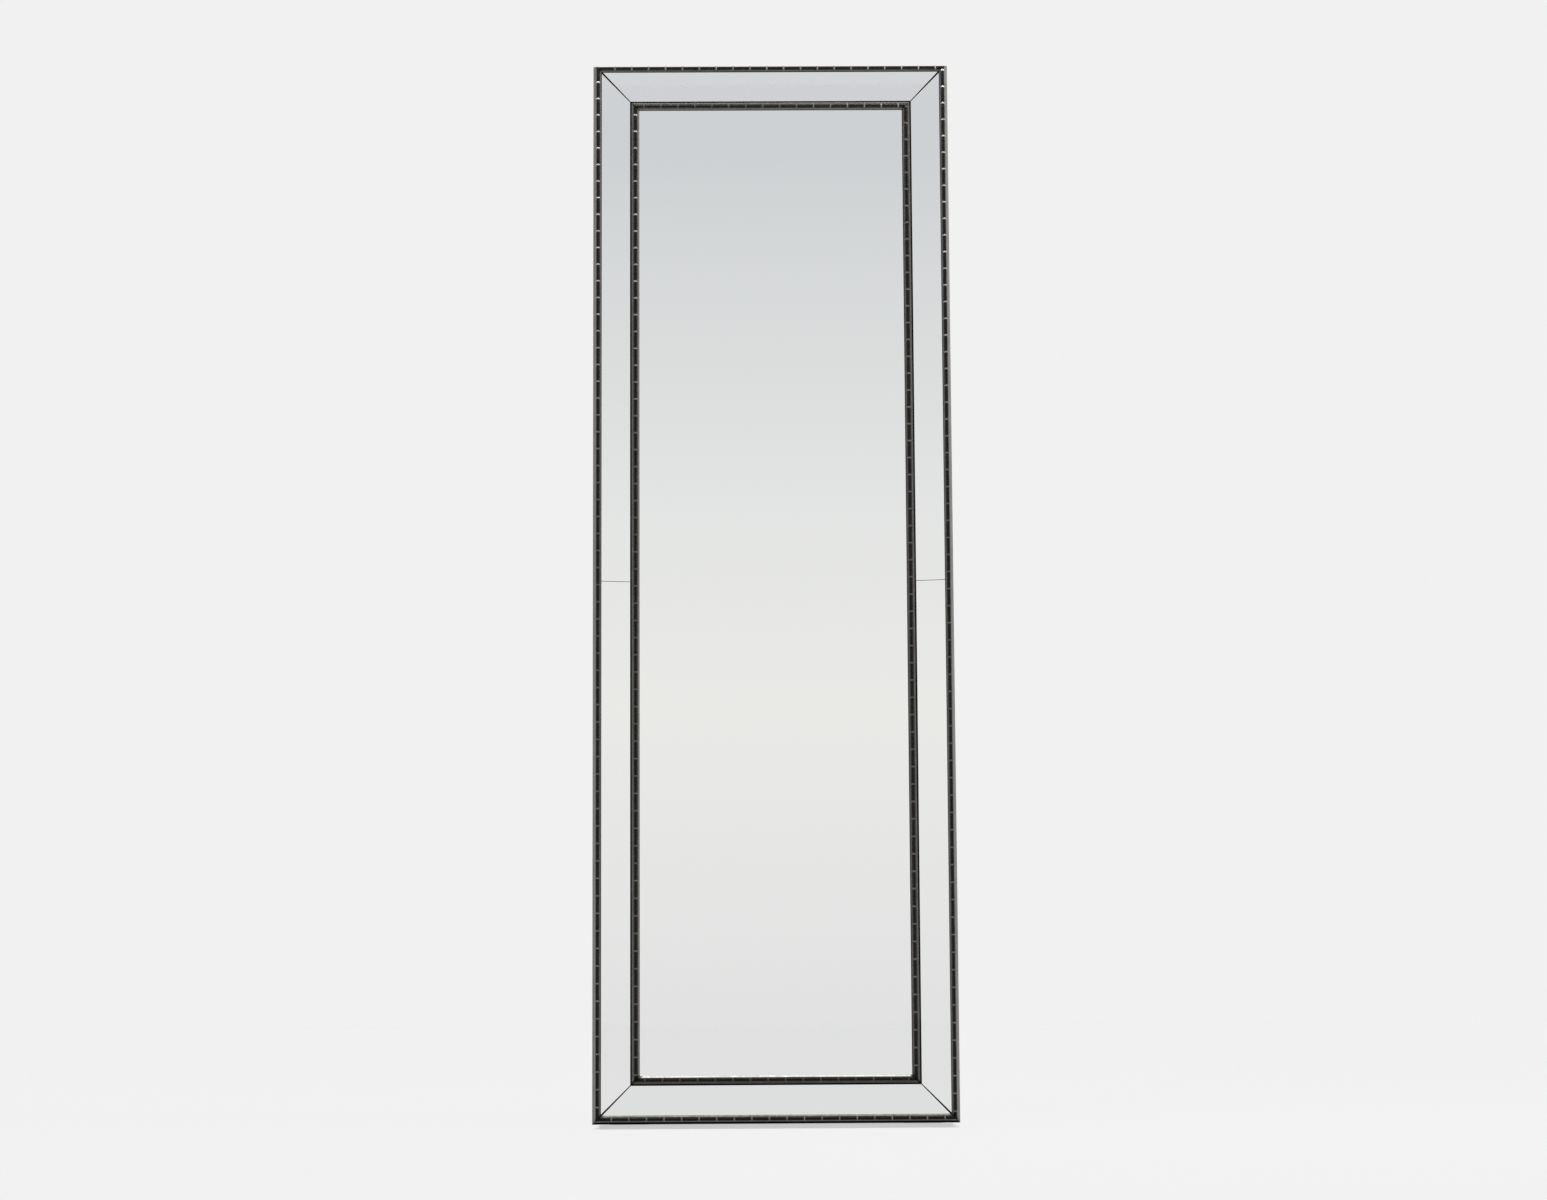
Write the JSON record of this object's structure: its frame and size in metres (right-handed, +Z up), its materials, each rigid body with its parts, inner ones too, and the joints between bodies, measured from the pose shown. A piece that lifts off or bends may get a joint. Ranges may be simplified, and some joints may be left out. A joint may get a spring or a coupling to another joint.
{
  "type": "full-length floor mirror",
  "caption": "Tall rectangular dressing mirror with a canted mirror-glass border between two ringed rod mouldings, on a timber-backed carrier with hanging rings.",
  "frame": {"origin": "on the floor, in the middle of the mirror's overall box, upright", "axes": "+Z up, -Y out of the mirror's front, +X to the right seen from the front"},
  "size_m": [0.559, 0.0494, 1.651],
  "materials": {
    "silvered_glass": "clear silvered float glass with a fine ground arris",
    "bronze_moulding": "dark bronze metal leaf on carved wood, rubbed to pale pewter on the rings and lips",
    "black_bed": "matt black paint on softwood",
    "black_board": "matt black paint on fibreboard",
    "foam_tape": "white double-sided foam tape",
    "frame_timber": "black-stained pine with the grain showing",
    "beech_dowel": "bare fluted beech",
    "hardboard": "smooth brown hardboard",
    "zinc_screw": "bright zinc plate",
    "black_screw": "black oxide",
    "nickel_strap": "nickel-plated pressed steel",
    "nickel_ring": "nickel-plated steel wire",
    "black_rubber": "matt black rubber"
  },
  "bodies": {
    "mirror": {"centre_mirror_glass": "silvered_glass", "border_glass_top": "silvered_glass", "border_glass_bottom": "silvered_glass", "border_glass_left_upper": "silvered_glass", "border_glass_left_lower": "silvered_glass", "border_glass_right_upper": "silvered_glass", "border_glass_right_lower": "silvered_glass", "outer_moulding_top": "bronze_moulding", "inner_moulding_top": "bronze_moulding", "border_bed_top": "black_bed", "outer_moulding_right": "bronze_moulding", "inner_moulding_right": "bronze_moulding", "border_bed_right": "black_bed", "outer_moulding_bottom": "bronze_moulding", "inner_moulding_bottom": "bronze_moulding", "border_bed_bottom": "black_bed", "outer_moulding_left": "bronze_moulding", "inner_moulding_left": "bronze_moulding", "border_bed_left": "black_bed", "carrier_board": "black_board", "centre_glass_tape": "foam_tape", "border_glass_tape": "foam_tape", "frame_stile_left": "frame_timber", "frame_stile_right": "frame_timber", "frame_rail_top": "frame_timber", "frame_rail_bottom": "frame_timber", "frame_rail_lower": "frame_timber", "frame_rail_upper": "frame_timber", "frame_dowels": "beech_dowel", "back_panel": "hardboard", "carrier_board_screws": "zinc_screw", "back_panel_screws": "black_screw", "hanger_strap_left": "nickel_strap", "hanger_screws_left": "zinc_screw", "hanger_strap_right": "nickel_strap", "hanger_screws_right": "zinc_screw", "wall_pads": "black_rubber", "foot_pads": "black_rubber"},
    "ring_left": {"hanger_ring_left": "nickel_ring"},
    "ring_right": {"hanger_ring_right": "nickel_ring"}
  },
  "joints": [
    {"name": "ring_left_hinge", "type": "hinge", "parent": "mirror", "child": "ring_left", "pos_m": [-0.2585, 0.0215, 1.36976], "axis": [1, 0, 0], "range_deg": [0, 180]},
    {"name": "ring_right_hinge", "type": "hinge", "parent": "mirror", "child": "ring_right", "pos_m": [0.2585, 0.0215, 1.36976], "axis": [1, 0, 0], "range_deg": [0, 180]}
  ]
}
